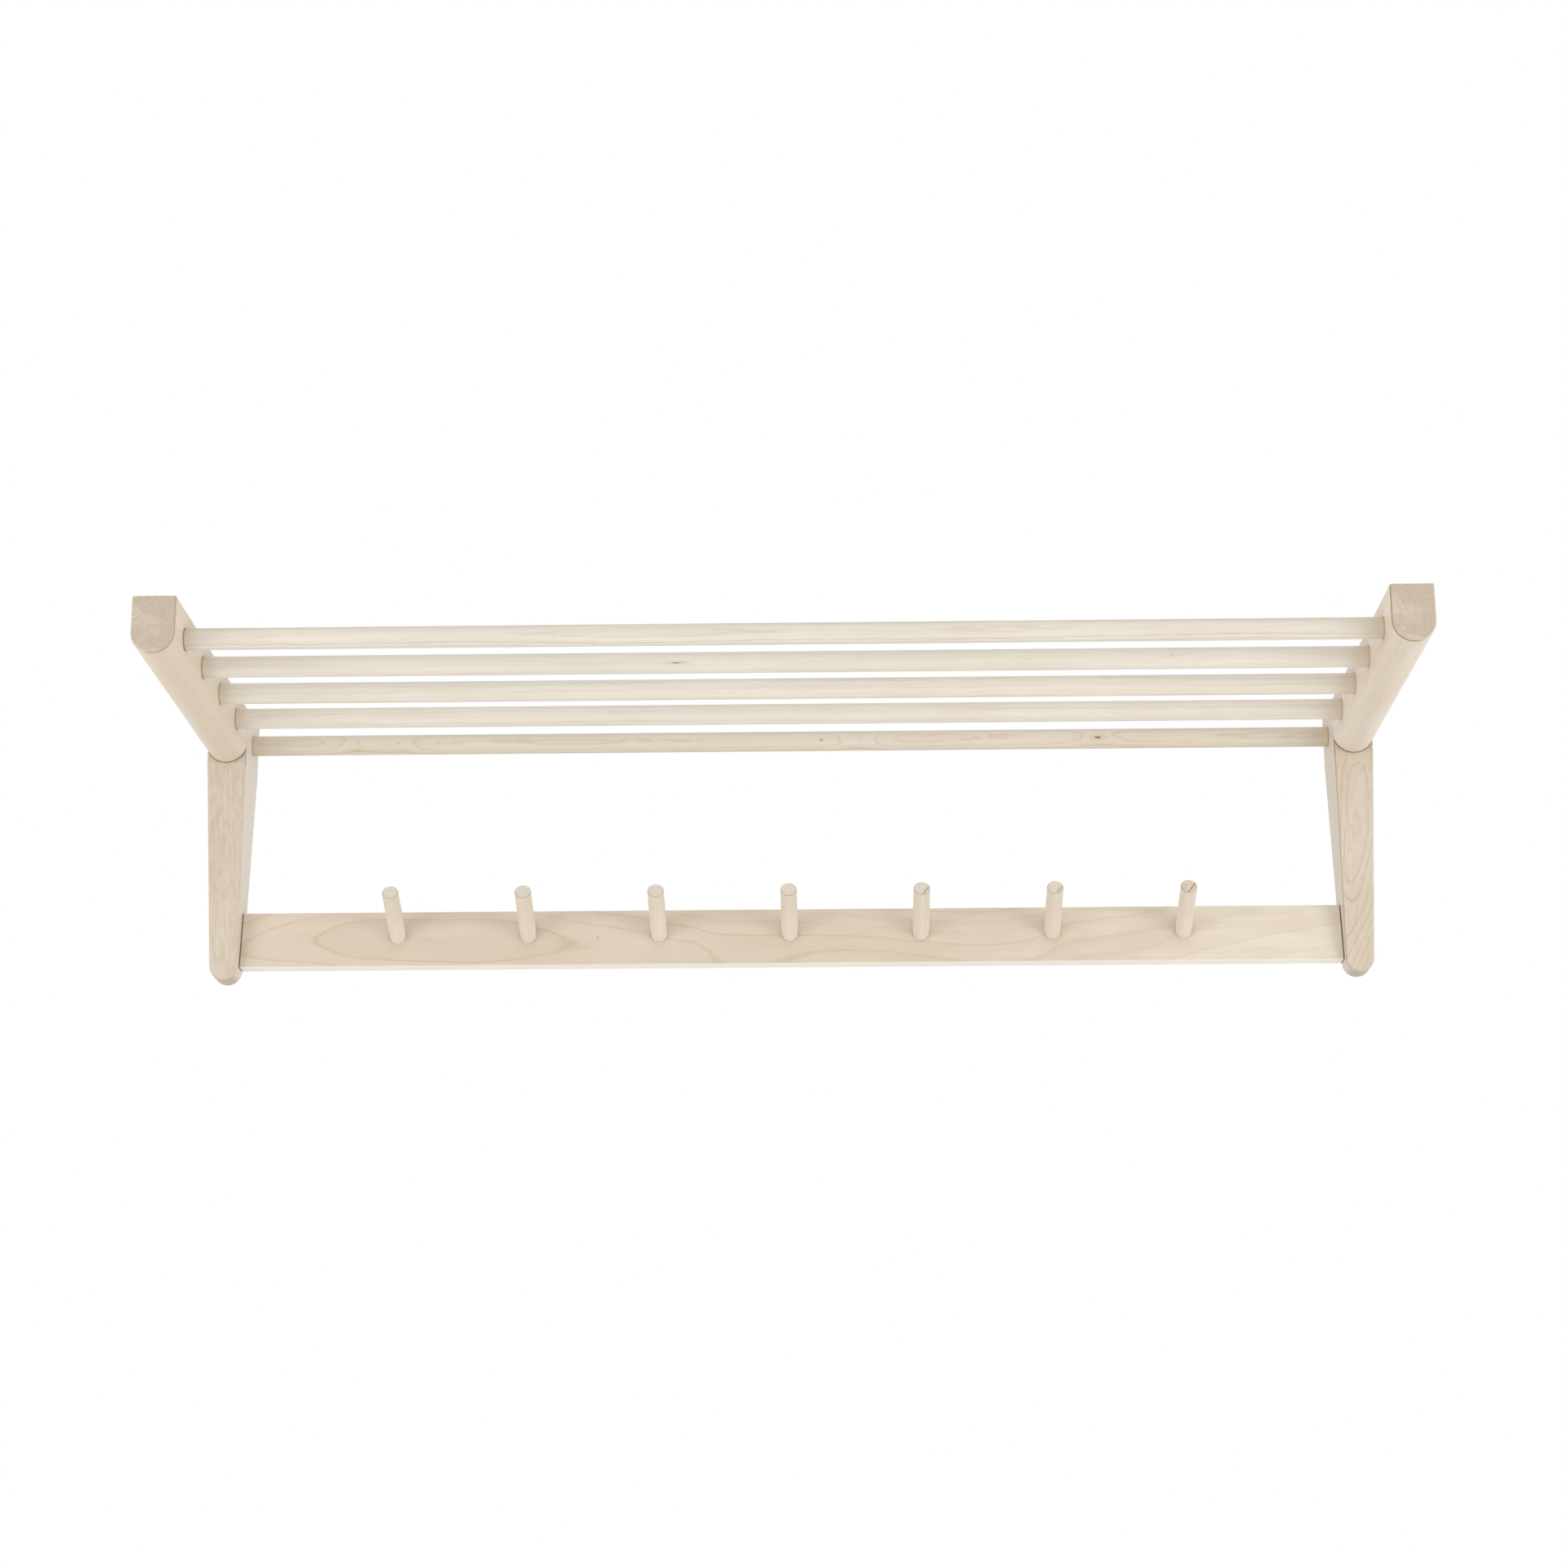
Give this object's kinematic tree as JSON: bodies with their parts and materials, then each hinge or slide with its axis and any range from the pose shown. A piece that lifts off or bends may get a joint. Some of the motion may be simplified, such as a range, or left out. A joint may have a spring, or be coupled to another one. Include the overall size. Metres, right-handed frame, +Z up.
{
  "type": "shaker peg rail with shelf",
  "caption": "Wall-hung shaker style wooden rack: a slatted shelf of round bars on two tapered brackets over a rail of upward-leaning pegs.",
  "frame": {"origin": "on the wall plane, midway between the two hanging holes", "axes": "+X to the right as seen from the room, +Y into the wall, +Z up"},
  "size_m": [0.8, 0.287, 0.1845],
  "materials": {
    "arm_wood": "pale, matt, oiled",
    "upright_wood": "pale, matt, oiled",
    "bar_wood": "pale, matt, oiled",
    "rail_wood": "pale, matt, oiled",
    "peg_wood": "pale, matt, oiled",
    "dowel_wood": "raw, fluted in the trade, plain here",
    "plate_steel": "zinc plated",
    "screw_steel": "zinc plated"
  },
  "bodies": {
    "root": {"left_arm": "arm_wood", "left_upright": "upright_wood", "left_arm_dowels": "dowel_wood", "left_rail_dowels": "dowel_wood", "left_keyhole_plate": "plate_steel", "right_arm": "arm_wood", "right_upright": "upright_wood", "right_arm_dowels": "dowel_wood", "right_rail_dowels": "dowel_wood", "right_keyhole_plate": "plate_steel", "shelf_bar_1": "bar_wood", "shelf_bar_2": "bar_wood", "shelf_bar_3": "bar_wood", "shelf_bar_4": "bar_wood", "shelf_bar_5": "bar_wood", "peg_rail": "rail_wood", "peg_1": "peg_wood", "peg_2": "peg_wood", "peg_3": "peg_wood", "peg_4": "peg_wood", "peg_5": "peg_wood", "peg_6": "peg_wood", "peg_7": "peg_wood", "plate_screws": "screw_steel"}
  },
  "joints": []
}
